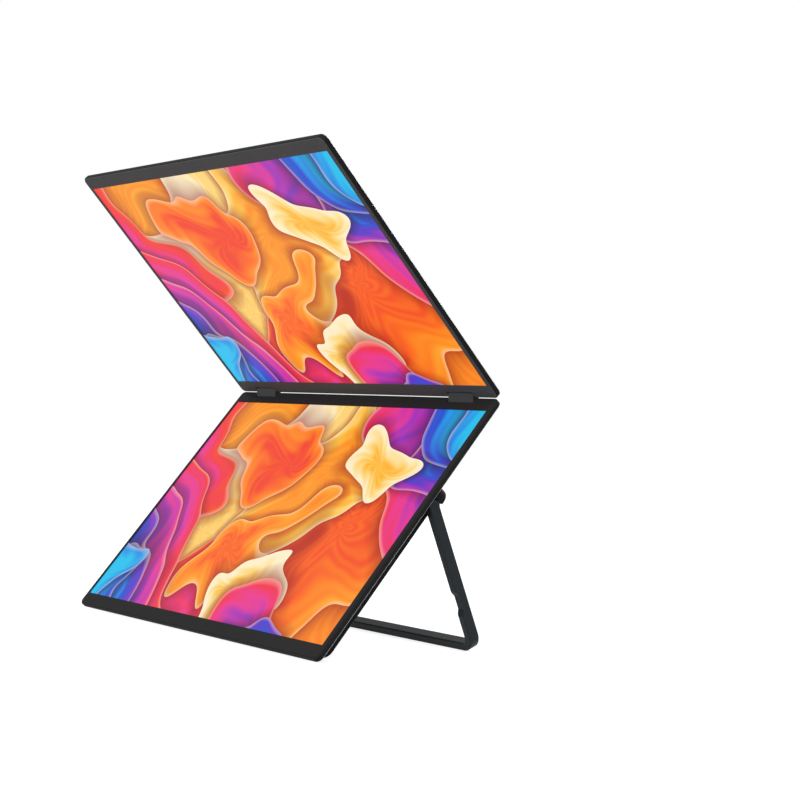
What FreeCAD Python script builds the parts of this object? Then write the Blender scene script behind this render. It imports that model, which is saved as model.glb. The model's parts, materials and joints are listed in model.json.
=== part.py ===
import FreeCAD, Part
import math
import os

# A stacked pair of folding 16 inch portable screens on a folding rear stand.
# Sizes are millimetres and degrees. Each screen is drawn flat in its own frame: x across,
# y from its hinge pin towards its outer long edge, z out of the screen.

# Screens and their thin slabs
active_long = 344.7
active_short = 215.4
side_bezel = 4.2
outer_bezel = 11.5
hinge_bezel = 12.5
slab_thick = 5.0
slab_corner = 5.0
edge_chamfer = 0.9
bezel_thick = 0.5
cover_floor = 0.9
cover_wall = 1.2
panel_thick = 1.6
panel_lip = 2.0

# Pose of the two screens, leaning away from the upright
lower_lean = 40.0
upper_lean = 44.0

# Hinge with two parallel pins in each block
hinge_inset = 41.55
block_width = 30.0
block_round = 2.9
block_edge = 0.4
screen_gap = 1.4
notch_side_gap = 0.5
notch_end_gap = 0.5
hinge_pin_radius = 1.0
pin_fit = 0.03
pin_running_fit = 0.05
barrel_length = 10.0
barrel_wall = 0.6
bracket_thick = 1.0
bracket_reach = 22.0
bracket_depth = 7.6
washer_radius = 2.3
washer_thick = 0.4
bracket_screw_radius = 0.8
bracket_screw_head = 1.5
bracket_screw_height = 0.8
screw_fit = 0.05
bracket_screw_bite = 0.45
bracket_hole_depth = 0.55
hinge_edge_wall = 0.8
backlight_corner = 1.0

# Boards inside the screens
driver_board_inset = 26.55
driver_board_thick = 0.8
board_gap = 0.3
flex_width = 42.0
flex_thick = 0.2
flex_overlap = 3.0
flex_inset = 76.55

# Moulded rear housing with the electronics
housing_height = 10.0
housing_wall = 1.8
housing_top = 76.0
housing_ledge = 10.0
housing_foot_ledge = 8.5
shoulder_ledge = 2.5
shoulder_corner = 10.0
foot_corner = 7.0
housing_edge = 2.0
housing_gap = 0.8

# U-shaped stand
stand_pivot = 93.0
stand_lean = 23.376
leg_width = 6.5
leg_depth = 9.0
stand_gap = 0.35
leg_swing_gap = 0.6
stand_corner = 12.0
stand_edge = 0.8
stand_pin_radius = 1.5
stand_pin_sunk = 1.5
stand_pin_inside = 6.0
bush_radius = 3.0
bush_length = 5.0
finger_notch_start = 66.0
finger_notch_length = 20.0
finger_notch_depth = 2.4
finger_notch_ramp = 5.0

# Sockets, places along the screen from its pin
usb_c_places = [112.0, 129.5, 150.0, 186.0]
mini_hdmi_places = [208.0]
usb_c_long = 8.9
usb_c_high = 3.2
usb_c_deep = 7.4
mini_hdmi_long = 11.2
mini_hdmi_high = 3.2
mini_hdmi_deep = 7.4
socket_shell = 0.3
socket_back = 1.2
tongue_thick = 0.7
tongue_side_gap = 1.1
socket_wall_gap = 0.15
socket_round_relief = 0.1
tongue_sunk = 1.0
jack_place = 208.5
jack_bore_radius = 1.75
jack_neck_radius = 2.4
jack_body = 6.0
jack_body_back = 2.4
jack_deep = 14.0
jack_bore_deep = 12.5

# Boards in the housing
board_end_margin = 5.0
main_board_wide = 100.0
board_thick = 1.2
board_margin = 1.0
standoff_radius = 2.0
standoff_inset = 5.0
board_screw_radius = 1.0
board_screw_head = 1.8
board_screw_height = 1.0
board_screw_bite = 1.4
board_hole_depth = 1.6
button_board_margin = 5.0
switch_size = 4.0
switch_height = 1.6

# Buttons on the other side wall
power_place = 143.5
key_places = {"minus_button": 164.0, "menu_button": 175.0, "plus_button": 186.0}
power_long = 9.0
key_long = 7.0
button_high = 3.0
button_proud = 0.4
button_travel = 0.5
button_fit = 0.15
button_flange = 0.8
button_flange_thick = 0.8
button_rest_gap = 0.1
button_round_relief = 0.05

# Rubber feet under the housing, which the object stands on
foot_inset = 58.55
foot_long = 34.0
foot_height = 2.4
foot_wide = 5.0
foot_round = 0.8

# Small hidden pieces are drawn with flat sides, which keeps the model light
hex_sides = 6
ring_sides = 8
same_place = 0.01
reach_through = 1.0

x_axis = FreeCAD.Vector(1, 0, 0)
z_axis = FreeCAD.Vector(0, 0, 1)

# Places that follow from the sizes
half_thick = slab_thick / 2
slab_half = active_long / 2 + side_bezel
hinge_offset = slab_half - hinge_inset
driver_board_half = slab_half - driver_board_inset
flex_offset = slab_half - flex_inset
foot_offset = slab_half - foot_inset
active_start = hinge_bezel - half_thick
slab_end = active_start + active_short + outer_bezel
pin_spacing = slab_thick + screen_gap
floor_level = -half_thick + cover_floor
panel_front = half_thick - bezel_thick
panel_half = active_long / 2 + panel_lip
panel_start = active_start - panel_lip
panel_end = active_start + active_short + panel_lip
notch_half = block_width / 2 + notch_side_gap
notch_end = block_round + notch_end_gap
housing_half = slab_half - housing_ledge
shoulder_half = slab_half - shoulder_ledge
housing_back = -half_thick - housing_height
shoulder_end = stand_pivot - leg_depth / 2 - leg_swing_gap
housing_end = slab_end - housing_foot_ledge
leg_inner = housing_half + housing_gap
leg_outer = leg_inner + leg_width
pivot_level = -half_thick - stand_gap - leg_depth / 2
socket_level = -half_thick - housing_height / 2
board_front = socket_level + usb_c_high / 2 + board_thick
inner_face = housing_half - housing_wall


lower_along = FreeCAD.Vector(0, -math.sin(math.radians(lower_lean)), -math.cos(math.radians(lower_lean)))
lower_front = FreeCAD.Vector(0, -math.cos(math.radians(lower_lean)), math.sin(math.radians(lower_lean)))
upper_along = FreeCAD.Vector(0, -math.sin(math.radians(upper_lean)), math.cos(math.radians(upper_lean)))
upper_front = FreeCAD.Vector(0, -math.cos(math.radians(upper_lean)), -math.sin(math.radians(upper_lean)))
block_tilt = math.radians((upper_lean - lower_lean) / 2)
block_along = FreeCAD.Vector(0, -math.sin(block_tilt), math.cos(block_tilt))
block_front = FreeCAD.Vector(0, -math.cos(block_tilt), -math.sin(block_tilt))
lower_pin = block_along * (-pin_spacing / 2)
upper_pin = block_along * (pin_spacing / 2)


def frame_of(origin, along, front):
    """Placement that puts the flat drawing's y on along, its z on front and its origin at origin."""
    across = along.cross(front)
    turn = FreeCAD.Rotation(across, along, front, "ZXY")
    return FreeCAD.Placement(origin, turn)


def box(x0, x1, y0, y1, z0, z1):
    return Part.makeBox(x1 - x0, y1 - y0, z1 - z0, FreeCAD.Vector(x0, y0, z0))


def rod(radius, x0, x1, y, z):
    """Round bar along x."""
    return Part.makeCylinder(radius, x1 - x0, FreeCAD.Vector(x0, y, z), x_axis)


def prism(sides, radius, centre, axis, length):
    """Bar with flat sides, two of them level, whose corners lie on a circle of that radius."""
    other = x_axis if abs(axis.x) < same_place else FreeCAD.Vector(0, 1, 0)
    across = axis.cross(other)
    corners = []
    for step in range(sides):
        angle = 2 * math.pi * (step + 1 / 2) / sides
        corners.append(centre + other * (radius * math.cos(angle)) + across * (radius * math.sin(angle)))
    return Part.Face(Part.makePolygon(corners + [corners[0]])).extrude(axis * length)


def hex_post(radius, x, y, z0, z1):
    """Six-sided bar along z."""
    return prism(hex_sides, radius, FreeCAD.Vector(x, y, z0), z_axis, z1 - z0)


def ring_rod(radius, x0, x1, y, z):
    """Many-sided bar along x, whose flat sides lie outside the circle of that radius."""
    corner = radius / math.cos(math.pi / ring_sides)
    return prism(ring_sides, corner, FreeCAD.Vector(x0, y, z), x_axis, x1 - x0)


def upright_edges(shape, wanted=None):
    """Edges along z, all of them or those whose place passes the test."""
    found = []
    for edge in shape.Edges:
        box_of_edge = edge.BoundBox
        if box_of_edge.XLength < same_place and box_of_edge.YLength < same_place:
            if wanted is None or wanted(box_of_edge.XMin, box_of_edge.YMin):
                found.append(edge)
    return found


def level_edges(shape, level, wanted=None):
    """Edges that lie in the plane z = level."""
    found = []
    for edge in shape.Edges:
        box_of_edge = edge.BoundBox
        if abs(box_of_edge.ZMin - level) < same_place and abs(box_of_edge.ZMax - level) < same_place:
            if wanted is None or wanted(box_of_edge):
                found.append(edge)
    return found


def plate(x0, x1, y0, y1, z0, z1, corner):
    """Plate with rounded corners."""
    shape = box(x0, x1, y0, y1, z0, z1)
    return shape.makeFillet(corner, upright_edges(shape))


def hinge_sides():
    return (-hinge_offset, hinge_offset)


def slab_blank():
    """Outer form of a screen: rounded corners, chamfered back outline and chamfered front hinge edge."""
    shape = plate(-slab_half, slab_half, -half_thick, slab_end, -half_thick, half_thick, slab_corner)
    shape = shape.makeChamfer(edge_chamfer, level_edges(shape, -half_thick))
    hinge_edge = level_edges(shape, half_thick, lambda b: b.YMax < -half_thick + same_place)
    return shape.makeChamfer(edge_chamfer, hinge_edge)


def notches(grow):
    """Gaps for the hinge blocks through the hinge edge, larger by grow on every side but the open one."""
    gaps = []
    for side in hinge_sides():
        gaps.append(box(side - notch_half - grow, side + notch_half + grow, -slab_thick, notch_end + grow,
                        -slab_thick, slab_thick))
    return gaps


def bracket_screw_places():
    """Screws of the hinge brackets: two each side of a notch."""
    places = []
    for side in hinge_sides():
        for step in (-1, 1):
            near = side + step * (notch_half + cover_wall + barrel_length + bracket_screw_head + board_gap)
            far = side + step * (notch_half + bracket_reach - bracket_screw_head - board_gap)
            places.append((near, bracket_depth / 2))
            places.append((far, bracket_depth / 2))
    return places


def back_cover():
    """Shallow tray that holds the screen, open at the front, with walls round the hinge notches."""
    tray = slab_blank().common(box(-active_long, active_long, -slab_thick, active_long, -slab_thick, panel_front))
    pocket = box(-slab_half + cover_wall, slab_half - cover_wall, -half_thick + hinge_edge_wall,
                 slab_end - cover_wall, floor_level, slab_thick)
    pocket = pocket.makeFillet(slab_corner - cover_wall, upright_edges(pocket))
    for gap in notches(cover_wall):
        pocket = pocket.cut(gap)
    tray = tray.cut(pocket)
    for gap in notches(0):
        tray = tray.cut(gap)
    for side in hinge_sides():
        reach = notch_half + cover_wall + board_gap
        tray = tray.cut(ring_rod(hinge_pin_radius + pin_running_fit, side - reach, side + reach, 0, 0))
    for x, y in bracket_screw_places():
        tray = tray.cut(hex_post(bracket_screw_radius + screw_fit, x, y, floor_level - bracket_hole_depth, floor_level))
    return tray


def bezel():
    """Thin front frame round the lit area."""
    face = slab_blank().common(box(-active_long, active_long, -slab_thick, active_long, panel_front, slab_thick))
    window = box(-active_long / 2, active_long / 2, active_start, active_start + active_short, -slab_thick, slab_thick)
    face = face.cut(window)
    for gap in notches(0):
        face = face.cut(gap)
    return face


def screen_panel():
    return box(-panel_half, panel_half, panel_start, panel_end, panel_front - panel_thick, panel_front)


def backlight():
    """Light guide and films in their tray, from the cover's floor to the glass."""
    tray = box(-panel_half, panel_half, panel_start, panel_end, floor_level, panel_front - panel_thick)
    return tray.makeFillet(backlight_corner, upright_edges(tray))


def driver_board():
    """Narrow strip board in the wide outer bezel."""
    start = panel_end + board_gap
    end = slab_end - cover_wall - board_gap
    return box(-driver_board_half, driver_board_half, start, end, floor_level, floor_level + driver_board_thick)


def panel_flex():
    """Short flat cables from the glass onto the strip board."""
    start = panel_end + board_gap
    level = floor_level + driver_board_thick
    strips = []
    for x in (-flex_offset, 0, flex_offset):
        strips.append(box(x - flex_width / 2, x + flex_width / 2, start - board_gap, start + flex_overlap,
                          level, level + flex_thick))
    return Part.makeCompound(strips)


def hinge_brackets():
    """Steel plates with a barrel each side of every notch, which hold the pin."""
    brackets = []
    barrel_radius = hinge_pin_radius + barrel_wall
    for side in hinge_sides():
        wall = notch_half + cover_wall
        plate_top = floor_level + bracket_thick
        bracket = box(side - notch_half - bracket_reach, side + notch_half + bracket_reach,
                      notch_end + cover_wall, bracket_depth, floor_level, plate_top)
        for step in (-1, 1):
            near = side + step * wall
            far = side + step * (notch_half + bracket_reach)
            low, high = min(near, far), max(near, far)
            bracket = bracket.fuse(box(low, high, barrel_radius, bracket_depth, floor_level, plate_top))
            barrel_end = near + step * barrel_length
            low, high = min(near, barrel_end), max(near, barrel_end)
            bracket = bracket.fuse(ring_rod(barrel_radius, low, high, 0, 0))
            bracket = bracket.fuse(box(low, high, 0, barrel_radius + board_gap, floor_level, plate_top))
        reach = wall + barrel_length + barrel_wall
        bracket = bracket.cut(ring_rod(hinge_pin_radius + pin_fit, side - reach, side + reach, 0, 0))
        for x, y in bracket_screw_places():
            bracket = bracket.cut(hex_post(bracket_screw_radius + screw_fit, x, y, -slab_thick, slab_thick))
        brackets.append(bracket.removeSplitter())
    return Part.makeCompound(brackets)


def hinge_pins():
    reach = notch_half + cover_wall + barrel_length
    return Part.makeCompound([rod(hinge_pin_radius, side - reach, side + reach, 0, 0) for side in hinge_sides()])


def bracket_screws():
    screws = []
    for x, y in bracket_screw_places():
        plate_top = floor_level + bracket_thick
        shank = hex_post(bracket_screw_radius, x, y, floor_level - bracket_screw_bite, plate_top)
        head = hex_post(bracket_screw_head, x, y, plate_top, plate_top + bracket_screw_height)
        screws.append(shank.fuse(head).removeSplitter())
    return Part.makeCompound(screws)


def block_profile():
    """Long round outline of a hinge block, seen along the pins."""
    reach = pin_spacing / 2
    top = FreeCAD.Vector(0, reach, block_round)
    end = FreeCAD.Vector(0, reach + block_round, 0)
    bottom = FreeCAD.Vector(0, reach, -block_round)
    low_bottom = FreeCAD.Vector(0, -reach, -block_round)
    low_end = FreeCAD.Vector(0, -reach - block_round, 0)
    low_top = FreeCAD.Vector(0, -reach, block_round)
    edges = [Part.Arc(top, end, bottom).toShape(), Part.makeLine(bottom, low_bottom),
             Part.Arc(low_bottom, low_end, low_top).toShape(), Part.makeLine(low_top, top)]
    return Part.Face(Part.Wire(edges))


def hinge_blocks():
    """Blocks that carry both pins, with softened ends."""
    blocks = []
    for side in hinge_sides():
        block = block_profile().extrude(x_axis * block_width)
        block.translate(FreeCAD.Vector(side - block_width / 2, 0, 0))
        ends = [edge for edge in block.Edges if edge.BoundBox.XLength < same_place]
        block = block.makeChamfer(block_edge, ends)
        for place in (-pin_spacing / 2, pin_spacing / 2):
            block = block.cut(rod(hinge_pin_radius + pin_running_fit, side - block_width, side + block_width, place, 0))
        blocks.append(block)
    return Part.makeCompound(blocks)


def friction_washers():
    """Spring washers between each block and the walls of its notches."""
    washers = []
    for side in hinge_sides():
        for step in (-1, 1):
            start = side + step * (block_width / 2 + notch_side_gap / 2) - washer_thick / 2
            for place in (-pin_spacing / 2, pin_spacing / 2):
                ring = ring_rod(washer_radius, start, start + washer_thick, place, 0)
                bore = ring_rod(hinge_pin_radius + pin_running_fit, start - washer_thick, start + 2 * washer_thick, place, 0)
                washers.append(ring.cut(bore))
    return Part.makeCompound(washers)


def housing_outline(shrink, front, back):
    """Wide shoulders over a body set in by the legs. shrink moves every side inwards."""
    shoulders = box(-shoulder_half + shrink, shoulder_half - shrink, housing_top + shrink, shoulder_end - shrink,
                    back, front)
    body = box(-housing_half + shrink, housing_half - shrink, housing_top + shrink, housing_end - shrink, back, front)
    shape = shoulders.fuse(body).removeSplitter()
    tops = upright_edges(shape, lambda x, y: y < housing_top + shrink + same_place)
    shape = shape.makeFillet(shoulder_corner - shrink, tops)
    feet = upright_edges(shape, lambda x, y: y > housing_end - shrink - same_place)
    return shape.makeFillet(foot_corner - shrink, feet)


def socket_list():
    """Every socket: place along the screen, length, height and depth."""
    sockets = [(place, usb_c_long, usb_c_high, usb_c_deep) for place in usb_c_places]
    sockets += [(place, mini_hdmi_long, mini_hdmi_high, mini_hdmi_deep) for place in mini_hdmi_places]
    return sockets


def rounded_bar(x0, x1, y, long, z, high, round_end):
    """Bar along x with a rounded rectangular section."""
    shape = box(x0, x1, y - long / 2, y + long / 2, z - high / 2, z + high / 2)
    along_x = [edge for edge in shape.Edges if edge.BoundBox.XLength > abs(x1 - x0) - same_place]
    return shape.makeFillet(round_end, along_x)


def button_list():
    buttons = {"power_button": (power_place, power_long)}
    for name, place in key_places.items():
        buttons[name] = (place, key_long)
    return buttons


def rear_housing():
    """Moulded housing on the lower screen's back: shell, rounded rim, socket and button cut-outs."""
    shape = housing_outline(0, -half_thick, housing_back)
    shape = shape.makeFillet(housing_edge, level_edges(shape, housing_back))
    shape = shape.cut(housing_outline(housing_wall, 0, housing_back + housing_wall))
    for place, long, high, deep in socket_list():
        hole = rounded_bar(inner_face - reach_through, housing_half + reach_through, place, long + 2 * socket_wall_gap,
                           socket_level, high + 2 * socket_wall_gap, high / 2)
        shape = shape.cut(hole)
    shape = shape.cut(rod(jack_neck_radius + socket_wall_gap, -housing_half - reach_through, -inner_face + reach_through,
                          jack_place, socket_level))
    for place, long in button_list().values():
        hole = rounded_bar(-housing_half - reach_through, -inner_face + reach_through, place, long + 2 * button_fit,
                           socket_level, button_high + 2 * button_fit, button_high / 2)
        shape = shape.cut(hole)
    for step in (-1, 1):
        low, high = sorted((step * (inner_face - bush_length), step * (housing_half + reach_through)))
        shape = shape.cut(ring_rod(bush_radius + pin_fit, low, high, stand_pivot, pivot_level))
    return shape


def socket_shell_shape(place, long, high, deep):
    """Metal shell with a closed back and a tongue."""
    mouth = housing_half - socket_wall_gap
    back = mouth - deep
    shell = rounded_bar(back, mouth, place, long, socket_level, high, high / 2 - socket_round_relief)
    hollow = rounded_bar(back + socket_back, mouth + reach_through, place, long - 2 * socket_shell, socket_level,
                         high - 2 * socket_shell, high / 2 - socket_shell - socket_round_relief)
    tongue = box(back + socket_back / 2, mouth - tongue_sunk, place - long / 2 + tongue_side_gap,
                 place + long / 2 - tongue_side_gap, socket_level - tongue_thick / 2, socket_level + tongue_thick / 2)
    return shell.cut(hollow).fuse(tongue).removeSplitter()


def usb_c_sockets():
    return Part.makeCompound([socket_shell_shape(p, usb_c_long, usb_c_high, usb_c_deep) for p in usb_c_places])


def mini_hdmi_sockets():
    shells = [socket_shell_shape(p, mini_hdmi_long, mini_hdmi_high, mini_hdmi_deep) for p in mini_hdmi_places]
    return Part.makeCompound(shells)


def audio_jack():
    body = box(-inner_face, -inner_face + jack_deep, jack_place - jack_body / 2, jack_place + jack_body / 2,
               socket_level - jack_body_back, socket_level + jack_body_back)
    neck = rod(jack_neck_radius, -housing_half + socket_wall_gap, -inner_face + reach_through, jack_place, socket_level)
    bore = rod(jack_bore_radius, -housing_half - reach_through, -inner_face + jack_bore_deep, jack_place, socket_level)
    return body.fuse(neck).cut(bore).removeSplitter()


def main_board_area():
    """Board behind the sockets: x range and y range."""
    high_x = inner_face - socket_wall_gap
    start = usb_c_places[0] - usb_c_long / 2 - board_margin
    end = mini_hdmi_places[-1] + mini_hdmi_long / 2 + board_end_margin
    return high_x - main_board_wide, high_x, start, end


def main_board():
    x0, x1, y0, y1 = main_board_area()
    board = box(x0, x1, y0, y1, board_front - board_thick, board_front)
    for x, y in standoff_places():
        board = board.cut(hex_post(board_screw_radius + screw_fit, x, y, housing_back, 0))
    return board


def standoff_places():
    x0, x1, y0, y1 = main_board_area()
    places = []
    for x in (x0 + standoff_inset, x1 - usb_c_deep - standoff_inset):
        for y in (y0 + standoff_inset + usb_c_long, y1 - standoff_inset):
            places.append((x, y))
    return places


def board_standoffs():
    """Posts between the slab's back and the main board."""
    posts = []
    for x, y in standoff_places():
        tall = hex_post(standoff_radius, x, y, board_front, -half_thick)
        hole = hex_post(board_screw_radius + screw_fit, x, y, board_front, board_front + board_hole_depth)
        posts.append(tall.cut(hole))
    return Part.makeCompound(posts)


def board_screws():
    screws = []
    for x, y in standoff_places():
        back = board_front - board_thick
        shank = hex_post(board_screw_radius, x, y, back, board_front + board_screw_bite)
        head = hex_post(board_screw_head, x, y, back - board_screw_height, back)
        screws.append(shank.fuse(head).removeSplitter())
    return Part.makeCompound(screws)


def button_board():
    """Narrow board with a switch behind each button, standing on the slab's back."""
    face = -inner_face + button_flange_thick + button_travel + 2 * button_rest_gap + switch_height
    start = power_place - power_long
    end = max(place + long / 2 for place, long in button_list().values()) + button_board_margin
    board = box(face, face + board_thick, start, end, housing_back + 2 * housing_wall, -half_thick)
    for place, long in button_list().values():
        switch = box(face - switch_height, face, place - switch_size / 2, place + switch_size / 2,
                     socket_level - button_high / 2, socket_level + button_high / 2)
        board = board.fuse(switch)
    return board.removeSplitter()


def button(place, long):
    """Cap through the wall, with a flange inside that keeps it in."""
    cap = rounded_bar(-housing_half - button_proud, -inner_face + button_rest_gap, place, long, socket_level, button_high,
                      button_high / 2 - button_round_relief)
    flange_start = -inner_face + button_rest_gap
    flange = box(flange_start, flange_start + button_flange_thick, place - long / 2 - button_flange,
                 place + long / 2 + button_flange, socket_level - button_high / 2 - button_flange,
                 socket_level + button_high / 2 + button_flange)
    return cap.fuse(flange).removeSplitter()


def rubber_feet():
    """Strips under the housing's lower wall, rounded along their outer edges."""
    feet = []
    back = housing_back + housing_edge
    for side in (-foot_offset, foot_offset):
        low, high = side - foot_long / 2, side + foot_long / 2
        foot = box(low, high, housing_end, housing_end + foot_height, back, back + foot_wide)
        outer = [edge for edge in foot.Edges
                 if edge.BoundBox.XLength > foot_long / 2 and edge.BoundBox.YMin > housing_end + foot_height - same_place]
        feet.append(foot.makeFillet(foot_round, outer))
    return Part.makeCompound(feet)


def stand_bushes():
    """Plain bushes in the housing's side walls for the stand's pins."""
    bushes = []
    for step in (-1, 1):
        low, high = sorted((step * (inner_face - bush_length), step * housing_half))
        ring = ring_rod(bush_radius, low, high, stand_pivot, pivot_level)
        bore = rod(stand_pin_radius + pin_running_fit, low - reach_through, high + reach_through, stand_pivot, pivot_level)
        bushes.append(ring.cut(bore))
    return Part.makeCompound(bushes)


def stand_frame():
    """U of two legs and a bar. y runs from the pivot to the bar, and the leg with the notch is at low x."""
    length = leg_length()
    outer = box(-leg_outer, leg_outer, 0, length + leg_width / 2, -leg_depth / 2, leg_depth / 2)
    outer = outer.makeFillet(stand_corner, upright_edges(outer, lambda x, y: y > length))
    inner = box(-leg_inner, leg_inner, -leg_depth, length - leg_width / 2, -leg_depth, leg_depth)
    inner = inner.makeFillet(stand_corner - leg_width, upright_edges(inner, lambda x, y: y > 0))
    frame = outer.cut(inner)
    for level in (-leg_depth / 2, leg_depth / 2):
        edges = level_edges(frame, level, lambda b: b.YMax > leg_depth / 2)
        frame = frame.makeChamfer(stand_edge, edges)
    for step in (-1, 1):
        low, high = sorted((step * leg_inner, step * leg_outer))
        frame = frame.fuse(rod(leg_depth / 2, low, high, 0, 0))
    frame = frame.removeSplitter()
    for step in (-1, 1):
        low, high = sorted((step * (leg_inner - reach_through), step * (leg_outer - stand_pin_sunk)))
        frame = frame.cut(rod(stand_pin_radius + pin_fit, low, high, 0, 0))
    ramp = finger_notch_ramp
    front = leg_depth / 2
    end = finger_notch_start + finger_notch_length
    points = [(finger_notch_start, front + reach_through), (finger_notch_start, front),
              (finger_notch_start + ramp, front - finger_notch_depth), (end - ramp, front - finger_notch_depth),
              (end, front), (end, front + reach_through)]
    corners = [FreeCAD.Vector(-leg_outer - reach_through, y, z) for y, z in points]
    scoop = Part.Face(Part.makePolygon(corners + [corners[0]])).extrude(x_axis * (leg_width + 2 * reach_through))
    return frame.cut(scoop)


def stand_pins():
    pins = []
    for step in (-1, 1):
        low, high = sorted((step * (inner_face - stand_pin_inside), step * (leg_outer - stand_pin_sunk)))
        pins.append(rod(stand_pin_radius, low, high, 0, 0))
    return Part.makeCompound(pins)


def floor_height():
    """Level of the feet's lowest line, in the hinge's frame."""
    y = housing_end + foot_height - foot_round
    z = housing_back + housing_edge + foot_round
    return (lower_pin + lower_along * y + lower_front * z).z - foot_round


def stand_pivot_point():
    return lower_pin + lower_along * stand_pivot + lower_front * pivot_level


def leg_length():
    """Length from the pivot to the bar's middle that rests the leaning bar's lowest corner on the floor."""
    height = stand_pivot_point().z - floor_height()
    lean = math.radians(stand_lean)
    lengths = []
    for beyond, depth in ((leg_width / 2, leg_depth / 2 - stand_edge), (leg_width / 2 - stand_edge, leg_depth / 2)):
        lengths.append((height - depth * math.sin(lean)) / math.cos(lean) - beyond)
    return min(lengths)


def folded_angle():
    """Smallest angle between the legs and the lower screen, where the bar lies on the housing's back."""
    length = leg_length()
    drop = pivot_level - housing_back + housing_gap
    reach = math.hypot(length - leg_width / 2, leg_depth / 2)
    return math.asin(drop / reach) + math.atan2(leg_depth / 2, length - leg_width / 2)


def build():
    lower = frame_of(lower_pin, lower_along, lower_front)
    upper = frame_of(upper_pin, upper_along, upper_front)
    hinge = frame_of(FreeCAD.Vector(0, 0, 0), block_along, block_front)
    lean = math.radians(stand_lean)
    leg_along = FreeCAD.Vector(0, math.sin(lean), -math.cos(lean))
    leg_front = FreeCAD.Vector(0, -math.cos(lean), -math.sin(lean))
    stand = frame_of(stand_pivot_point(), leg_along, leg_front)
    nodes = {}
    makers = {"back_cover": back_cover, "bezel": bezel, "screen_panel": screen_panel, "backlight": backlight,
              "driver_board": driver_board, "panel_flex": panel_flex, "hinge_brackets": hinge_brackets,
              "hinge_pins": hinge_pins, "bracket_screws": bracket_screws}
    for part_name, maker in makers.items():
        shape = maker()
        nodes["upper_" + part_name] = (shape, upper)
        nodes["lower_" + part_name] = (shape, lower)
    for maker in (rear_housing, usb_c_sockets, mini_hdmi_sockets, audio_jack, main_board, board_standoffs,
                  board_screws, button_board, rubber_feet, stand_bushes):
        nodes[maker.__name__] = (maker(), lower)
    for name, (place, long) in button_list().items():
        nodes[name] = (button(place, long), lower)
    for maker in (hinge_blocks, friction_washers):
        nodes[maker.__name__] = (maker(), hinge)
    for maker in (stand_frame, stand_pins):
        nodes[maker.__name__] = (maker(), stand)
    return nodes


def placed(shape, placement):
    copy = shape.copy()
    copy.transformShape(placement.toMatrix(), True)
    return copy


def main():
    os.makedirs("parts", exist_ok=True)
    shapes = {name: placed(shape, placement) for name, (shape, placement) in build().items()}
    whole = Part.makeCompound(list(shapes.values())).optimalBoundingBox()
    shift = FreeCAD.Vector(-(whole.XMin + whole.XMax) / 2, -(whole.YMin + whole.YMax) / 2, -whole.ZMin)
    for name, shape in shapes.items():
        shape.translate(shift)
        shape.exportStep("parts/" + name + ".step")
        if not shape.isValid():
            print("not valid:", name)
    print("nodes", len(shapes), "box", round(whole.XLength, 2), round(whole.YLength, 2), round(whole.ZLength, 2))
    for label, point in (("lower pin", lower_pin), ("upper pin", upper_pin), ("stand pivot", stand_pivot_point())):
        spot = point + shift
        print(label, round(spot.x, 4), round(spot.y, 4), round(spot.z, 4))
    print("stand angle from the lower screen", round(stand_lean + lower_lean, 3))
    print("stand angle when folded", round(math.degrees(folded_angle()), 3))


main()
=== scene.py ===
import bmesh
import bpy
import json
import math
import numpy as np
from mathutils import Matrix, Vector


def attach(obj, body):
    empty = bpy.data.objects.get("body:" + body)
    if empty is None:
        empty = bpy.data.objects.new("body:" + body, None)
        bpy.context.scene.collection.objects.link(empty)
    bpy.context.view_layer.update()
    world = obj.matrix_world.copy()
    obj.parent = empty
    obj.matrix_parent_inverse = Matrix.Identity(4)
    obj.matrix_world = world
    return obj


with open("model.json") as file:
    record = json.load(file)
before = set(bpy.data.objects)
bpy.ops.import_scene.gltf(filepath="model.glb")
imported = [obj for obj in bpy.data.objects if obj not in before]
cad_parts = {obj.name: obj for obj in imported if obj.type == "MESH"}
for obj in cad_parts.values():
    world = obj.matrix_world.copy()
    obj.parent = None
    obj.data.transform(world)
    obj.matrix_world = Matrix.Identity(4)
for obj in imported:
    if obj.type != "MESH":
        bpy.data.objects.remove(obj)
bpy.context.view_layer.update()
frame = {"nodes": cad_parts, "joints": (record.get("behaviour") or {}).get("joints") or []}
nodes = frame["nodes"]
joints = {joint["name"]: joint for joint in frame["joints"]}

# The camera stands at the height of the hinge, to the right of the screens and in front of them. It was fitted to
# the corners of both lit areas in the photograph, in millimetres and radians.
camera_place_mm = (1173.95, -761.24, 174.96)
camera_yaw = 0.925
camera_pitch = 0.0058
camera_roll = -0.038
focal_pixels = 1776.36
picture_pixels = 800
sensor_mm = 36

ahead = Vector((-math.sin(camera_yaw) * math.cos(camera_pitch), math.cos(camera_yaw) * math.cos(camera_pitch),
                math.sin(camera_pitch)))
level_right = Vector((math.cos(camera_yaw), math.sin(camera_yaw), 0))
level_down = ahead.cross(level_right)
camera_right = level_right * math.cos(camera_roll) + level_down * math.sin(camera_roll)
camera_down = level_down * math.cos(camera_roll) - level_right * math.sin(camera_roll)
camera_data = bpy.data.cameras.new("studio_camera")
camera_data.sensor_width = sensor_mm
camera_data.lens = focal_pixels / picture_pixels * sensor_mm
camera_data.clip_start = 0.01
camera = bpy.data.objects.new("studio_camera", camera_data)
camera.matrix_world = Matrix.Translation(Vector(camera_place_mm) / 1000) @ Matrix(
    (camera_right, -camera_down, -ahead)).transposed().to_4x4()
bpy.context.scene.collection.objects.link(camera)
bpy.context.scene.camera = camera

# The studio is a white room with a white paper floor. The camera and reflections see plain white, while the light
# that the room and the floor throw on the object stays low, so that its blacks stay black.
room_tint = "#e9edf2"
room_strength = 0.5
paper_colour = "#b4b4b4"
paper_glow_strength = 0.84
floor_half = 30.0


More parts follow.
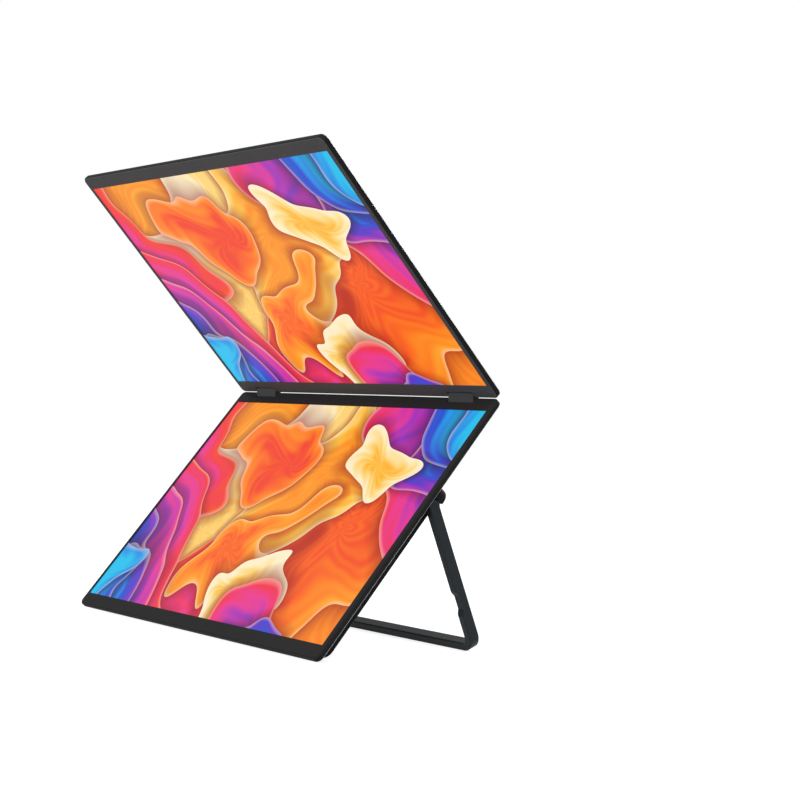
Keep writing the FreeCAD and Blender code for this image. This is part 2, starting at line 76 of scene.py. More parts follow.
def linear(code):
    """sRGB hex colour as linear RGBA: each channel over 12.92 below 0.04045, else the 2.4 power curve."""
    channels = [int(code[place:place + 2], 16) / 255 for place in (1, 3, 5)]
    return [value / 12.92 if value <= 0.04045 else ((value + 0.055) / 1.055) ** 2.4 for value in channels] + [1]


def add(tree, kind, settings=None, links=None):
    """New node in tree. settings go to its properties or sockets, and links are socket: output of another node."""
    node = tree.nodes.new(kind)
    for name, value in (settings or {}).items():
        if isinstance(name, str) and hasattr(node, name):
            setattr(node, name, value)
        else:
            node.inputs[name].default_value = value
    for name, source in (links or {}).items():
        tree.links.new(source, node.inputs[name])
    return node


def white_rays(tree):
    """1 for rays that come from the camera or from a reflection or glass, else 0: the largest of the three."""
    path = add(tree, "ShaderNodeLightPath")
    seen = add(tree, "ShaderNodeMath", {"operation": "MAXIMUM"},
               {0: path.outputs["Is Camera Ray"], 1: path.outputs["Is Glossy Ray"]})
    seen = add(tree, "ShaderNodeMath", {"operation": "MAXIMUM"},
               {0: seen.outputs[0], 1: path.outputs["Is Transmission Ray"]})
    return seen.outputs[0]


world = bpy.data.worlds.new("white_studio")
world.use_nodes = True
tree = world.node_tree
tree.nodes.clear()
room_light = add(tree, "ShaderNodeBackground", {"Color": linear(room_tint), "Strength": room_strength})
white_wall = add(tree, "ShaderNodeBackground", {"Color": linear("#ffffff"), "Strength": 1.0})
chosen = add(tree, "ShaderNodeMixShader", {}, {0: white_rays(tree), 1: room_light.outputs[0], 2: white_wall.outputs[0]})
add(tree, "ShaderNodeOutputWorld", {}, {"Surface": chosen.outputs[0]})
bpy.context.scene.world = world
bpy.context.scene.view_settings.view_transform = "Standard"

floor_mesh = bpy.data.meshes.new("studio_floor")
floor_mesh.from_pydata([(-floor_half, -floor_half, 0), (floor_half, -floor_half, 0), (floor_half, floor_half, 0),
                        (-floor_half, floor_half, 0)], [], [(0, 1, 2, 3)])
studio_floor = bpy.data.objects.new("studio_floor", floor_mesh)
bpy.context.scene.collection.objects.link(studio_floor)
floor_paper = bpy.data.materials.new("white_backdrop_paper")
floor_paper.use_nodes = True
tree = floor_paper.node_tree
tree.nodes.clear()
paper = add(tree, "ShaderNodeBsdfDiffuse", {"Color": linear(paper_colour)})
seen_glow = add(tree, "ShaderNodeMath", {"operation": "MULTIPLY", 1: paper_glow_strength}, {0: white_rays(tree)})
paper_glow = add(tree, "ShaderNodeEmission", {"Color": linear("#ffffff")}, {"Strength": seen_glow.outputs[0]})
both = add(tree, "ShaderNodeAddShader", {}, {0: paper.outputs[0], 1: paper_glow.outputs[0]})
add(tree, "ShaderNodeOutputMaterial", {}, {"Surface": both.outputs[0]})
floor_mesh.materials.append(floor_paper)

# Three large soft lamps light the front, the back and the top, and all point at the middle of the object.
# For each: its place and its width in metres, and its power in watts.
lamps = {
    "front_softbox": ((0.35, -1.5, 1.15), 1.4, 15.0),
    "rear_softbox": ((-0.75, 1.6, 1.2), 0.9, 17.0),
    "top_softbox": ((0.7, 0.0, 1.8), 1.0, 9.0),
}
lamp_aim = Vector((0, 0, 0.18))
for name, (place, width, power) in lamps.items():
    lamp_data = bpy.data.lights.new(name, "AREA")
    lamp_data.size = width
    lamp_data.energy = power
    lamp = bpy.data.objects.new(name, lamp_data)
    lamp.location = place
    lamp.rotation_euler = (lamp_aim - Vector(place)).to_track_quat("-Z", "Y").to_euler()
    bpy.context.scene.collection.objects.link(lamp)

# The screen covers are shallow trays pressed from aluminium sheet, blasted and anodised black, which leaves a dull
# and even black with hardly any shine. The long chamfer round the back is cut after anodising and shows a line of
# bare bright metal.
screen_lean = {"upper": 44.0, "lower": 40.0}
slab_thick_mm = 5.0
# Both covers are the same anodised aluminium; the upper is painted a little darker than the lower, as painted shade for
# how the lamps fall on each.
cover_shades_with_painted_light = {"upper": ("#242425", "#292929"), "lower": ("#2b2b2c", "#303031")}
chamfer_facing = 0.7071
chamfer_spread = 0.12
bright_line_mm = 0.7
bright_line_from_back_mm = 0.45
cut_metal_colour = "#d2d4d7"
cut_metal_rough = 0.28


def screen_axes(side):
    """Directions of a screen: across to the viewer's right, up its picture, and out of its front."""
    lean = math.radians(screen_lean[side])
    tilt = math.sin(lean) if side == "lower" else -math.sin(lean)
    up = Vector((0, tilt, math.cos(lean)))
    across = Vector((1, 0, 0))
    return across, up, across.cross(up)


def new_material(name):
    """New material, with its nodes and its shader."""
    material = bpy.data.materials.new(name)
    material.use_nodes = True
    return material, material.node_tree, material.node_tree.nodes["Principled BSDF"]


def grain(tree, shader, grain_mm, strength):
    """Fine surface grain as bump, from noise of that size. The real grain of these finishes is 0.05 to 0.1 mm and
    wouldn't show, so it is drawn a few tenths of a millimetre wide."""
    bump_depth_mm = 0.4
    place = add(tree, "ShaderNodeTexCoord")
    noise = add(tree, "ShaderNodeTexNoise", {"Scale": 1000 / grain_mm, "Detail": 3.0, "Roughness": 0.6},
                {"Vector": place.outputs["Object"]})
    bump = add(tree, "ShaderNodeBump", {"Strength": strength, "Distance": bump_depth_mm / 1000},
               {"Height": noise.outputs["Fac"]})
    tree.links.new(bump.outputs["Normal"], shader.inputs["Normal"])


def new_finish(name, shades, cloud_mm, rough, grain_mm, grain_strength, shine=0.5):
    """New material whose colour and roughness drift between two near values with a slow cloudy noise of that
    size, as handled and moulded surfaces do, with a fine grain on top. Also gives its clouded colour and roughness."""
    material, tree, shader = new_material(name)
    place = add(tree, "ShaderNodeTexCoord")
    cloud = add(tree, "ShaderNodeTexNoise", {"Scale": 1000 / cloud_mm, "Detail": 4.0, "Roughness": 0.55},
                {"Vector": place.outputs["Object"]})
    tone = add(tree, "ShaderNodeMix", {"data_type": "RGBA", 6: linear(shades[0]), 7: linear(shades[1])},
               {"Factor": cloud.outputs["Fac"]})
    clouded = add(tree, "ShaderNodeMapRange", {"To Min": rough[0], "To Max": rough[1]}, {"Value": cloud.outputs["Fac"]})
    tree.links.new(clouded.outputs["Result"], shader.inputs["Roughness"])
    tree.links.new(tone.outputs[2], shader.inputs["Base Color"])
    shader.inputs["Specular IOR Level"].default_value = shine
    grain(tree, shader, grain_mm, grain_strength)
    return material, tree, shader, tone.outputs[2], clouded.outputs["Result"]


def dress(material, *names):
    """Gives each of these CAD nodes that material alone."""
    for name in names:
        mesh = nodes[name].data
        mesh.materials.clear()
        mesh.materials.append(material)


for side in ("upper", "lower"):
    across, up, out = screen_axes(side)
    anodised, tree, shader, tone, rough = new_finish(
        side + "_blasted_anodised_aluminium", cover_shades_with_painted_light[side], cloud_mm=60, rough=(0.60, 0.68), grain_mm=0.5,
        grain_strength=0.25, shine=0.04)
    place = add(tree, "ShaderNodeTexCoord")
    facing = add(tree, "ShaderNodeVectorMath", {"operation": "DOT_PRODUCT", 1: -out}, {0: place.outputs["Normal"]})
    slanted = add(tree, "ShaderNodeMath", {"operation": "COMPARE", 1: chamfer_facing, 2: chamfer_spread},
                  {0: facing.outputs["Value"]})
    level = add(tree, "ShaderNodeVectorMath", {"operation": "DOT_PRODUCT", 1: out}, {0: place.outputs["Object"]})
    pin_level = Vector(joints[side + "_hinge"]["pos_m"]).dot(out)
    line_level = pin_level - (slab_thick_mm / 2 - bright_line_from_back_mm) / 1000
    in_line = add(tree, "ShaderNodeMath", {"operation": "COMPARE", 1: line_level, 2: bright_line_mm / 2000},
                  {0: level.outputs["Value"]})
    cut = add(tree, "ShaderNodeMath", {"operation": "MULTIPLY"}, {0: slanted.outputs[0], 1: in_line.outputs[0]})
    cut_colour = add(tree, "ShaderNodeMix", {"data_type": "RGBA", 7: linear(cut_metal_colour)},
                     {"Factor": cut.outputs[0], 6: tone})
    tree.links.new(cut_colour.outputs[2], shader.inputs["Base Color"])
    cut_rough = add(tree, "ShaderNodeMix", {"data_type": "FLOAT", 3: cut_metal_rough},
                    {"Factor": cut.outputs[0], 2: rough})
    tree.links.new(cut_rough.outputs[0], shader.inputs["Roughness"])
    dress(anodised, side + "_back_cover")

# The bezels are thin frames moulded in dark grey ABS and clipped over the edge of the glass. Their mould is spark
# eroded, which gives a fine matt texture without highlights.
# Both bezels are the same grey ABS; the upper is painted much lighter and the lower darker, as painted light and shade
# for how the lamps fall on each.
for side, shades in {"upper": ("#525253", "#5a5a5b"), "lower": ("#262627", "#2c2c2d")}.items():
    bezel_abs_with_painted_light = new_finish(side + "_textured_abs", shades, cloud_mm=45, rough=(0.58, 0.66), grain_mm=0.45,
                           grain_strength=0.22, shine=0.05)[0]
    dress(bezel_abs_with_painted_light, side + "_bezel")

# The displays are liquid crystal panels behind an anti-glare film, which blurs what they reflect. They are switched
# on and show a generic desktop picture: sheets of coloured cloth that lie over each other in folds, made only from
# waves, noise and a row of colours.
active_start_mm = 10.0
active_short_mm = 215.4
picture_strength = 0.97
film_black = "#101012"
# The picture is laid out in units of 100 mm. Noise bends it, and each sheet's edge waves by a share of its radius.
bend_scale = 0.60
bend_reach = 1.1
lobe_height = 0.16
# Faint ribs run along each sheet's edge and round it, and each sheet sinks along the row of colours away from it.
ribs_per_100_mm = 40.0
ribs_per_lobe = 3.0
rib_turn = 5.0
rib_depth = 0.022
edge_hue = 0.06
sheet_sink = 0.17
# A sheet throws a soft shadow on those behind it, and light catches its hem. The backmost is shaded throughout.
shadow_reach = 0.16
shadow_strength = 0.75
backing_shadow = 0.5
hem_width = 0.045
hem_strength = 0.32
fold_shadow = "#a23c50"
fold_light = "#fff3da"
picture_colours = [
    (0.00, "#12c0ee"), (0.09, "#1593e6"), (0.17, "#2350cf"), (0.25, "#5a35c6"), (0.33, "#b230b4"),
    (0.41, "#ec3690"), (0.49, "#f22f4a"), (0.57, "#f5441c"), (0.66, "#fe7412"), (0.76, "#ff9a1c"),
    (0.85, "#ffc040"), (0.93, "#ffdc85"), (1.00, "#fff0c8")]
# For each sheet, from the back: its middle to the right and up, radius, lobes round its edge and their turn, place
# on the row of colours, and how far in from its edge it goes on sinking.
picture_folds = [
    ((0.0, 0.0), 9.0, 2, 0.0, 0.62, 9.0),
    ((-1.5, 1.1), 1.35, 4, 0.9, 0.86, 0.6),
    ((1.5, -1.1), 1.45, 3, 2.6, 0.82, 0.7),
    ((0.2, 1.25), 1.05, 5, 0.5, 1.02, 0.5),
    ((1.0, -0.3), 0.95, 4, 1.7, 0.72, 0.45),
    ((-0.75, -0.2), 1.0, 5, 2.9, 1.00, 0.5),
    ((-1.6, 0.35), 0.75, 4, 2.5, 0.52, 0.4),
    ((0.2, 0.3), 0.72, 5, 0.8, 0.86, 0.35),
    ((-0.35, -1.0), 0.66, 4, 1.9, 0.56, 0.3),
    ((0.05, -0.45), 0.52, 5, 2.4, 0.74, 0.3),
    ((0.62, -0.95), 0.44, 5, 0.3, 0.98, 0.3),
    ((-0.45, 0.62), 0.36, 4, 1.3, 0.68, 0.22),
    ((1.75, 1.05), 1.20, 4, 1.1, 0.42, 0.45),
    ((1.95, 1.10), 1.02, 5, 2.0, 0.28, 0.35),
    ((2.05, 1.30), 0.90, 4, 0.4, 0.16, 0.35),
    ((2.15, 1.00), 0.62, 4, 1.9, 0.07, 0.3),
    ((-1.75, -1.00), 1.25, 4, 2.3, 0.46, 0.45),
    ((-1.95, -1.15), 1.12, 5, 0.6, 0.36, 0.35),
    ((-2.05, -1.10), 0.95, 4, 1.6, 0.24, 0.3),
    ((-2.15, -1.25), 0.86, 5, 2.8, 0.13, 0.3),
    ((-1.95, -0.70), 0.42, 4, 0.2, 0.05, 0.25),
    ((0.9, -1.45), 0.62, 4, 1.2, 0.44, 0.3),
    ((1.15, -1.55), 0.50, 5, 0.5, 0.22, 0.25),
    ((0.75, 0.55), 0.42, 4, 0.1, 0.95, 0.3),
]


def fill_ramp(ramp, stops):
    """Colour ramp with these (place, hex colour) stops."""
    while len(ramp.color_ramp.elements) < len(stops):
        ramp.color_ramp.elements.new(1.0)
    for element, (place, code) in zip(ramp.color_ramp.elements, stops):
        element.position = place
        element.color = linear(code)


def picture_place(tree, side):
    """Object coordinates turned into the picture: millimetres right and up from the middle of the lit area."""
    across, up, out = screen_axes(side)
    pin = Vector(joints[side + "_hinge"]["pos_m"]) * 1000
    middle = active_start_mm + active_short_mm / 2
    centre = pin + (up if side == "upper" else -up) * middle
    turn = Matrix((across, up, out))
    place = add(tree, "ShaderNodeTexCoord")
    laid = add(tree, "ShaderNodeMapping",
               {"Rotation": turn.to_euler(), "Scale": (1000, 1000, 1000), "Location": -(turn @ centre)},
               {"Vector": place.outputs["Object"]})
    return laid.outputs["Vector"]


for side in ("upper", "lower"):
    glass, tree, shader = new_material(side + "_lit_display")
    laid = add(tree, "ShaderNodeVectorMath", {"operation": "MULTIPLY", 1: (1 / 100, 1 / 100, 0)},
               {0: picture_place(tree, side)})
    bend = add(tree, "ShaderNodeTexNoise", {"Scale": bend_scale, "Detail": 2.0, "Roughness": 0.45},
               {"Vector": laid.outputs[0]})
    bent = add(tree, "ShaderNodeVectorMath",
               {"operation": "MULTIPLY_ADD", 1: (2 * bend_reach, 2 * bend_reach, 0), 2: (-bend_reach, -bend_reach, 0)},
               {0: bend.outputs["Color"]})
    folded = add(tree, "ShaderNodeVectorMath", {"operation": "ADD"}, {0: laid.outputs[0], 1: bent.outputs[0]})
    # The sheets are laid from the back. Three values go forward from sheet to sheet: the place on the row of colours,
    # the shadow and the light.
    hue_so_far = shade_so_far = light_so_far = None
    for order, (centre, radius, lobes, turned, hue, sink_width) in enumerate(picture_folds):
        away = add(tree, "ShaderNodeVectorMath", {"operation": "SUBTRACT", 1: (centre[0], centre[1], 0)},
                   {0: folded.outputs[0]})
        parts = add(tree, "ShaderNodeSeparateXYZ", {}, {"Vector": away.outputs[0]})
        around = add(tree, "ShaderNodeMath", {"operation": "ARCTAN2"}, {0: parts.outputs["Y"], 1: parts.outputs["X"]})
        far = add(tree, "ShaderNodeVectorMath", {"operation": "LENGTH"}, {0: away.outputs[0]})
        beat = add(tree, "ShaderNodeMath", {"operation": "MULTIPLY_ADD", 1: float(lobes), 2: turned},
                   {0: around.outputs[0]})
        wave = add(tree, "ShaderNodeMath", {"operation": "SINE"}, {0: beat.outputs[0]})
        edge = add(tree, "ShaderNodeMath", {"operation": "MULTIPLY_ADD", 1: radius * lobe_height, 2: radius},
                   {0: wave.outputs[0]})
        inside = add(tree, "ShaderNodeMath", {"operation": "SUBTRACT"}, {0: edge.outputs[0], 1: far.outputs["Value"]})
        depth = add(tree, "ShaderNodeMapRange", {"From Max": sink_width}, {"Value": inside.outputs[0]})
        ribs = add(tree, "ShaderNodeMath", {"operation": "MULTIPLY_ADD", 1: ribs_per_lobe * lobes, 2: rib_turn * order},
                   {0: around.outputs[0]})
        ribs = add(tree, "ShaderNodeMath", {"operation": "MULTIPLY_ADD", 1: ribs_per_100_mm},
                   {0: inside.outputs[0], 2: ribs.outputs[0]})
        ribs = add(tree, "ShaderNodeMath", {"operation": "SINE"}, {0: ribs.outputs[0]})
        sunk = add(tree, "ShaderNodeMath", {"operation": "MULTIPLY_ADD", 1: -sheet_sink, 2: hue + edge_hue},
                   {0: depth.outputs["Result"]})
        sunk = add(tree, "ShaderNodeMath", {"operation": "MULTIPLY_ADD", 1: rib_depth},
                   {0: ribs.outputs[0], 2: sunk.outputs[0]})
        if hue_so_far is None:
            hue_so_far = sunk.outputs[0]
            continue
        front = add(tree, "ShaderNodeMath", {"operation": "GREATER_THAN", 1: 0.0}, {0: inside.outputs[0]})
        behind = add(tree, "ShaderNodeMath", {"operation": "SUBTRACT", 0: 1.0}, {1: front.outputs[0]})
        shadow = add(tree, "ShaderNodeMapRange",
                     {"From Min": -shadow_reach, "From Max": 0.0, "To Max": shadow_strength},
                     {"Value": inside.outputs[0]})
        hem = add(tree, "ShaderNodeMapRange", {"From Max": hem_width, "To Min": hem_strength, "To Max": 0.0},
                  {"Value": inside.outputs[0]})
        hue_so_far = add(tree, "ShaderNodeMix", {"data_type": "FLOAT"},
                         {0: front.outputs[0], 2: hue_so_far, 3: sunk.outputs[0]}).outputs[0]
        darkest = add(tree, "ShaderNodeMath", {"operation": "MAXIMUM", 1: backing_shadow},
                      {0: shadow.outputs["Result"]})
        lit = add(tree, "ShaderNodeMath", {"operation": "MULTIPLY"}, {0: hem.outputs["Result"], 1: front.outputs[0]})
        if shade_so_far is not None:
            tree.links.new(shade_so_far, darkest.inputs[1])
            kept = add(tree, "ShaderNodeMath", {"operation": "MULTIPLY"}, {0: light_so_far, 1: behind.outputs[0]})
            lit = add(tree, "ShaderNodeMath", {"operation": "ADD"}, {0: kept.outputs[0], 1: lit.outputs[0]})
        shade_so_far = add(tree, "ShaderNodeMath", {"operation": "MULTIPLY"},
                           {0: darkest.outputs[0], 1: behind.outputs[0]}).outputs[0]
        light_so_far = lit.outputs[0]
    palette = add(tree, "ShaderNodeValToRGB", {}, {"Fac": hue_so_far})
    fill_ramp(palette, picture_colours)
    shaded = add(tree, "ShaderNodeMix", {"data_type": "RGBA", "blend_type": "MULTIPLY", 7: linear(fold_shadow)},
                 {0: shade_so_far, 6: palette.outputs["Color"]})
    hemmed = add(tree, "ShaderNodeMix", {"data_type": "RGBA", 7: linear(fold_light)},
                 {0: light_so_far, 6: shaded.outputs[2]})
    tree.links.new(hemmed.outputs[2], shader.inputs["Emission Color"])
    shader.inputs["Emission Strength"].default_value = picture_strength
    shader.inputs["Base Color"].default_value = linear(film_black)
    shader.inputs["Roughness"].default_value = 0.45
    shader.inputs["IOR"].default_value = 1.5
    shader.inputs["Specular IOR Level"].default_value = 0.10
    grain(tree, shader, grain_mm=0.3, strength=0.05)
    dress(glass, side + "_screen_panel")

# The hinge blocks are zinc die castings that hold both pins. They are painted dark grey with a satin lacquer, which
# shows a soft highlight along their rounded edges.
casting = new_finish("painted_zinc_casting", ("#37383a", "#3f4042"), cloud_mm=20, rough=(0.45, 0.53), grain_mm=0.6,
                     grain_strength=0.18, shine=0.12)[0]
dress(casting, "hinge_blocks")

# The rear housing is moulded in black ABS and fixed to the lower cover; it holds the boards and takes the sockets
# in one side wall. Its fine texture keeps it matt.
housing_abs = new_finish("black_textured_abs", ("#202021", "#252526"), cloud_mm=50, rough=(0.55, 0.63), grain_mm=0.5,
                         grain_strength=0.30, shine=0.05)[0]
dress(housing_abs, "rear_housing")

# The buttons are moulded in black ABS without texture and stand in the housing's other side wall. They look a
# little darker and smoother than the housing.
button_abs = new_finish("black_moulded_abs", ("#161617", "#1b1b1c"), cloud_mm=12, rough=(0.36, 0.44), grain_mm=0.3,
                        grain_strength=0.12, shine=0.3)[0]
dress(button_abs, "power_button", "menu_button", "plus_button", "minus_button")

# The stand is a U bent from flat aluminium bar with chamfered edges, turning on pins in the housing. It is anodised
# dark grey with a trace of blue, and its faces are silky.
stand_metal = new_finish("grey_anodised_aluminium", ("#2e3336", "#35393c"), cloud_mm=70, rough=(0.46, 0.54),
                         grain_mm=0.5, grain_strength=0.20, shine=0.10)[0]
dress(stand_metal, "stand_frame")

# The sockets are stamped steel shells plated with pale gold, soldered to the main board. Only a thin rim at each
# mouth shows gold; deeper in, the black nylon tongue and the shell's inner walls are all coloured black, which on
# the walls is painted shade in the recess.
socket_mouth_x_mm = -166.40
rim_depth_mm = 0.25
nylon_black_and_painted_shade = "#0b0b0c"
plated, tree, shader, gold, _ = new_finish(
    "gold_plated_steel_and_nylon", ("#958b6c", "#aea583"), cloud_mm=6, rough=(0.25, 0.36), grain_mm=0.3,
    grain_strength=0.08)
place = add(tree, "ShaderNodeTexCoord")
split = add(tree, "ShaderNodeSeparateXYZ", {}, {"Vector": place.outputs["Object"]})
# Behind the rim all is coloured black: the nylon tongue really is black, and on the shell's inner walls it is painted
# shade.
rim = add(tree, "ShaderNodeMath", {"operation": "LESS_THAN", 1: (socket_mouth_x_mm + rim_depth_mm) / 1000},
          {0: split.outputs["X"]})
mouth = add(tree, "ShaderNodeMix", {"data_type": "RGBA", 6: linear(nylon_black_and_painted_shade)}, {0: rim.outputs[0], 7: gold})
tree.links.new(mouth.outputs[2], shader.inputs["Base Color"])
tree.links.new(rim.outputs[0], shader.inputs["Metallic"])
dress(plated, "usb_c_sockets", "mini_hdmi_sockets")

# The audio socket is moulded in black nylon, with a slight waxy shine, and sits behind its hole in the side wall.
nylon = new_finish("black_nylon", ("#0e0e0f", "#151516"), cloud_mm=8, rough=(0.40, 0.50), grain_mm=0.4,
                   grain_strength=0.10, shine=0.2)[0]
dress(nylon, "audio_jack")

# Small generic signs are pad-printed in white ink on the housing's back beside each socket, each button and the
# audio hole: an outline of the plug's mouth, rings, bars and a cross. Their places are millimetres down from the
# lower hinge's pin. The ink is matt and a little uneven.
housing_back_mm = -12.5
housing_side_mm = 166.55
sign_inset_mm = 5.2
ink_lift_mm = 0.02
ink_thick_mm = 0.06
usb_places_mm = (112.0, 129.5, 150.0, 186.0)
hdmi_place_mm = 208.0
power_place_mm = 143.5
minus_place_mm = 164.0
menu_place_mm = 175.0
plus_place_mm = 186.0
audio_place_mm = 208.5
menu_bar_step_mm = 1.0
power_bar_shift_mm = 1.1
hdmi_sign_across_mm = (-1.5, 1.5, 1.5, 0.7, -0.7, -1.5)
hdmi_sign_down_mm = (-3.4, -3.4, 2.4, 3.4, 3.4, 2.4)


def on_housing(x_mm, y_mm):
    """Points on the housing's back: x across to the viewer's right, y down from the hinge pin, as world metres."""
    across, up, out = (np.array(axis) for axis in screen_axes("lower"))
    pin = np.array(joints["lower_hinge"]["pos_m"])
    x, y = np.broadcast_arrays(np.asarray(x_mm, float), np.asarray(y_mm, float))
    return pin + (x[..., None] * across - y[..., None] * up + (housing_back_mm - ink_lift_mm) * out) / 1000


def stripe(x_mm, y_mm, line, closed=True):
    """Patch of one inked line along the points: each side is the point plus or less half the width across."""
    x, y = np.asarray(x_mm, float), np.asarray(y_mm, float)
    if closed:
        dx, dy = np.roll(x, -1) - np.roll(x, 1), np.roll(y, -1) - np.roll(y, 1)
    else:
        dx, dy = np.gradient(x), np.gradient(y)
    long = np.hypot(dx, dy)
    side_x, side_y = -dy / long * line / 2, dx / long * line / 2
    points = np.concatenate([on_housing(x + side_x, y + side_y), on_housing(x - side_x, y - side_y)])
    count = len(x)
    here = np.arange(count if closed else count - 1)
    after = (here + 1) % count
    return points, [np.stack([here, after, after + count, here + count], 1)]


def bar(x, y, long, line, upright=False):
    """Straight inked line, as a stripe of two points."""
    if upright:
        return stripe([x, x], [y - long / 2, y + long / 2], line, closed=False)
    return stripe([x - long / 2, x + long / 2], [y, y], line, closed=False)


def ring(x, y, radius, line):
    """Inked ring: the sine and cosine of one angle times the radius."""
    turn = np.linspace(0, 2 * np.pi, 28, endpoint=False)
    return stripe(x + radius * np.cos(turn), y + radius * np.sin(turn), line)


def pill(x, y, long, wide, line):
    """Outline of a plug's mouth: a ring whose halves are moved apart along y."""
    turn = np.linspace(0, 2 * np.pi, 32, endpoint=False)
    radius = wide / 2
    apart = np.sign(np.sin(turn)) * (long / 2 - radius)
    return stripe(x + radius * np.cos(turn), y + radius * np.sin(turn) + apart, line)


def join_patches(name, patches):
    """New object from patches of points and arrays of faces: each patch's numbers go up by the points before it."""
    points, faces, total = [], [], 0
    for patch_points, face_arrays in patches:
        points.append(patch_points)
        for numbers in face_arrays:
            faces += (numbers + total).tolist()
        total += len(patch_points)
    mesh = bpy.data.meshes.new(name)
    mesh.from_pydata(np.concatenate(points).tolist(), [], faces)
    piece = bpy.data.objects.new(name, mesh)
    bpy.context.scene.collection.objects.link(piece)
    return piece


signs = []
socket_side = -housing_side_mm + sign_inset_mm
for place_mm in usb_places_mm:
    signs.append(pill(socket_side, place_mm, long=6.0, wide=3.2, line=0.8))
    signs.append(bar(socket_side, place_mm, long=3.0, line=1.0, upright=True))
signs.append(stripe(socket_side + np.array(hdmi_sign_across_mm), hdmi_place_mm + np.array(hdmi_sign_down_mm), line=0.8))
signs.append(bar(socket_side, hdmi_place_mm, long=3.6, line=1.0, upright=True))
button_side = housing_side_mm - sign_inset_mm
signs.append(ring(button_side, power_place_mm, radius=1.5, line=0.45))
signs.append(bar(button_side - power_bar_shift_mm, power_place_mm, long=1.6, line=0.45))
signs.append(bar(button_side, minus_place_mm, long=2.6, line=0.5, upright=True))
for step in (-1, 0, 1):
    signs.append(bar(button_side + step * menu_bar_step_mm, menu_place_mm, long=2.6, line=0.45, upright=True))
signs.append(bar(button_side, plus_place_mm, long=2.6, line=0.5, upright=True))
signs.append(bar(button_side, plus_place_mm, long=2.6, line=0.5))
signs.append(ring(button_side, audio_place_mm, radius=1.3, line=0.45))
signs.append(ring(button_side, audio_place_mm, radius=0.3, line=0.5))
printed_marks = join_patches("printed_marks", signs)
film = printed_marks.modifiers.new("ink_film", "SOLIDIFY")
film.thickness = ink_thick_mm / 1000
film.offset = 0
ink = new_finish("pale_pad_print_ink", ("#e4e4e2", "#f2f2f0"), cloud_mm=4, rough=(0.45, 0.60), grain_mm=0.3,
                 grain_strength=0.05)[0]
printed_marks.data.materials.append(ink)
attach(printed_marks, "lower_screen")

# The feet are moulded in black silicone rubber and stuck under the housing's lower wall. A thin lip of each foot
# wraps over the housing's rounded edge and shows on its back. The rubber is dull and takes hardly any light.
housing_end_mm = 228.4
housing_edge_mm = 2.0
foot_centre_mm = 118.0
foot_long_mm = 34.0
lip_reach_mm = 3.4
lip_proud_mm = 0.35
lip_sunk_mm = 0.15
lip_end_mm = 1.5
lip_front_mm = 0.5
lip_stations = 41
lip_flat_steps = 7
lip_round_steps = 8


def foot_lip(centre_mm):
    """Patch of one lip. Its profile is a flat run, then a quarter circle round the housing's edge, once lifted off
    the shell and once sunk into it. The lift falls to nothing at both ends as a quarter circle, and at the front."""
    stations = np.linspace(-1, 1, lip_stations) * foot_long_mm / 2
    near_end = np.clip((np.abs(stations) - foot_long_mm / 2 + lip_end_mm) / lip_end_mm, 0, 1)
    lift = lip_proud_mm * np.sqrt(np.clip(1 - near_end ** 2, 0, 1))
    turn = np.linspace(0, np.pi / 2, lip_round_steps + 1)
    run = np.linspace(-lip_reach_mm, 0, lip_flat_steps + 1)[:-1]
    along = np.concatenate([run, housing_edge_mm * np.sin(turn)])[:, None]
    depth = np.concatenate([0 * run, housing_edge_mm * (1 - np.cos(turn))])[:, None]
    off_along = np.concatenate([0 * run, np.sin(turn)])[:, None]
    off_depth = np.concatenate([0 * run - 1, -np.cos(turn)])[:, None]
    raised = np.clip((along + lip_reach_mm) / lip_front_mm, 0, 1) ** 0.5 * lift
    y, z = (np.concatenate([flat + off * raised, (flat - off * lip_sunk_mm + 0 * lift)[::-1]])
            for flat, off in ((along, off_along), (depth, off_depth)))
    across, up, out = (np.array(axis) for axis in screen_axes("lower"))
    pin = np.array(joints["lower_hinge"]["pos_m"])
    x = np.broadcast_to(centre_mm + stations, y.shape)[..., None]
    y = (housing_end_mm - housing_edge_mm + y)[..., None]
    z = (housing_back_mm + z)[..., None]
    number = np.arange(y.size).reshape(y.shape[:2])
    after = np.roll(number, -1, axis=0)
    skin = np.stack([number[:, :-1], after[:, :-1], after[:, 1:], number[:, 1:]], -1).reshape(-1, 4)
    ends = np.stack([number[::-1, 0], number[:, -1]])
    return (pin + (x * across - y * up + z * out) / 1000).reshape(-1, 3), [skin, ends]


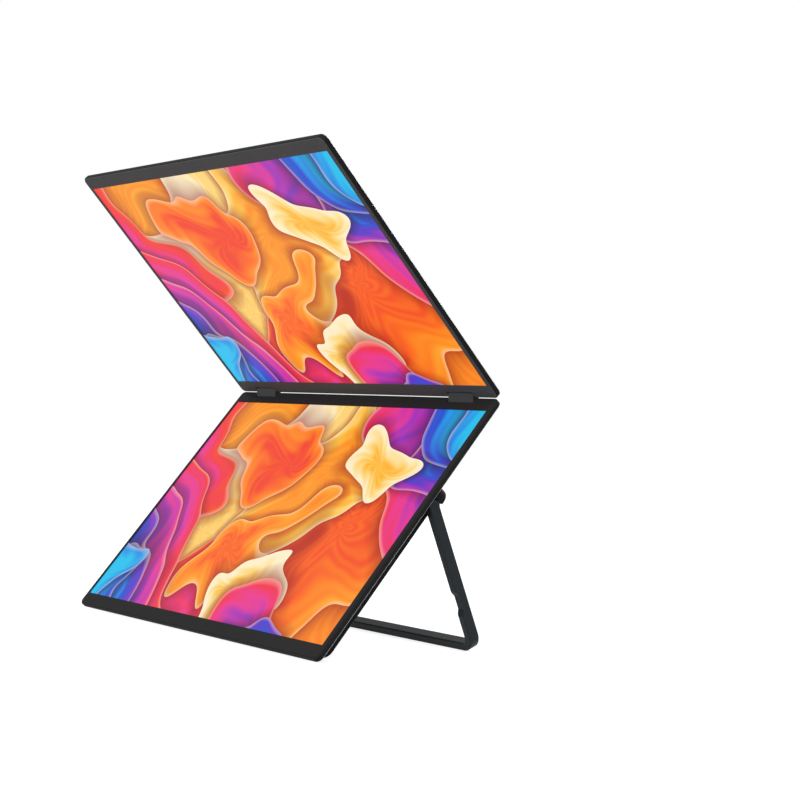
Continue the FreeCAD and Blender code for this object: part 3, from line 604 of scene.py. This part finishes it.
foot_lips = join_patches("foot_lips", [foot_lip(-foot_centre_mm), foot_lip(foot_centre_mm)])
lip_shell = bmesh.new()
lip_shell.from_mesh(foot_lips.data)
bmesh.ops.recalc_face_normals(lip_shell, faces=lip_shell.faces)
lip_shell.to_mesh(foot_lips.data)
lip_shell.free()
silicone = new_finish("black_silicone_rubber", ("#0f0f0f", "#161616"), cloud_mm=10, rough=(0.75, 0.88), grain_mm=0.4,
                      grain_strength=0.35, shine=0.1)[0]
dress(silicone, "rubber_feet")
foot_lips.data.materials.append(silicone)
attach(foot_lips, "lower_screen")

# The stand's bushes are turned from white acetal and pressed into the housing's side walls. They are smooth and
# slightly waxy, and only their ends are near the air.
acetal = new_finish("white_acetal", ("#d8d7d0", "#e6e5df"), cloud_mm=8, rough=(0.35, 0.45), grain_mm=0.4,
                    grain_strength=0.06)[0]
dress(acetal, "stand_bushes")

# The inner pieces are hidden by the covers and the housing: steel pins, brackets, screws and washers, brass posts,
# boards, flexes and light guides. For each finish: its two shades, whether it is metal, roughness, grain in
# millimetres, and the pieces made of it.
inner_finishes = {
    "ground_steel": (("#8d9092", "#a5a8aa"), 1.0, (0.25, 0.35), 0.4,
                     ("upper_hinge_pins", "lower_hinge_pins", "stand_pins")),
    "stamped_steel": (("#85888a", "#9a9d9f"), 1.0, (0.35, 0.48), 0.8,
                      ("upper_hinge_brackets", "lower_hinge_brackets", "friction_washers")),
    "zinc_plated_steel": (("#989a98", "#b4b6b2"), 1.0, (0.3, 0.42), 0.5,
                          ("upper_bracket_screws", "lower_bracket_screws", "board_screws")),
    "turned_brass": (("#a98742", "#c7a45a"), 1.0, (0.25, 0.35), 0.3, ("board_standoffs",)),
    "green_glass_fibre_board": (("#0f4a2c", "#176339"), 0.0, (0.35, 0.5), 1.2,
                                ("upper_driver_board", "lower_driver_board", "main_board", "button_board")),
    "amber_polyimide": (("#8a4f14", "#a9661f"), 0.0, (0.3, 0.4), 0.8, ("upper_panel_flex", "lower_panel_flex")),
    "white_acrylic_guide": (("#e4e6e8", "#f2f3f4"), 0.0, (0.2, 0.3), 1.0, ("upper_backlight", "lower_backlight")),
}
cloud_in_grains = 10
for name, (shades, metallic, rough, grain_mm, wearers) in inner_finishes.items():
    finish, _, shader, _, _ = new_finish(
        name, shades, cloud_in_grains * grain_mm, rough, grain_mm, grain_strength=0.12)
    shader.inputs["Metallic"].default_value = metallic
    dress(finish, *wearers)
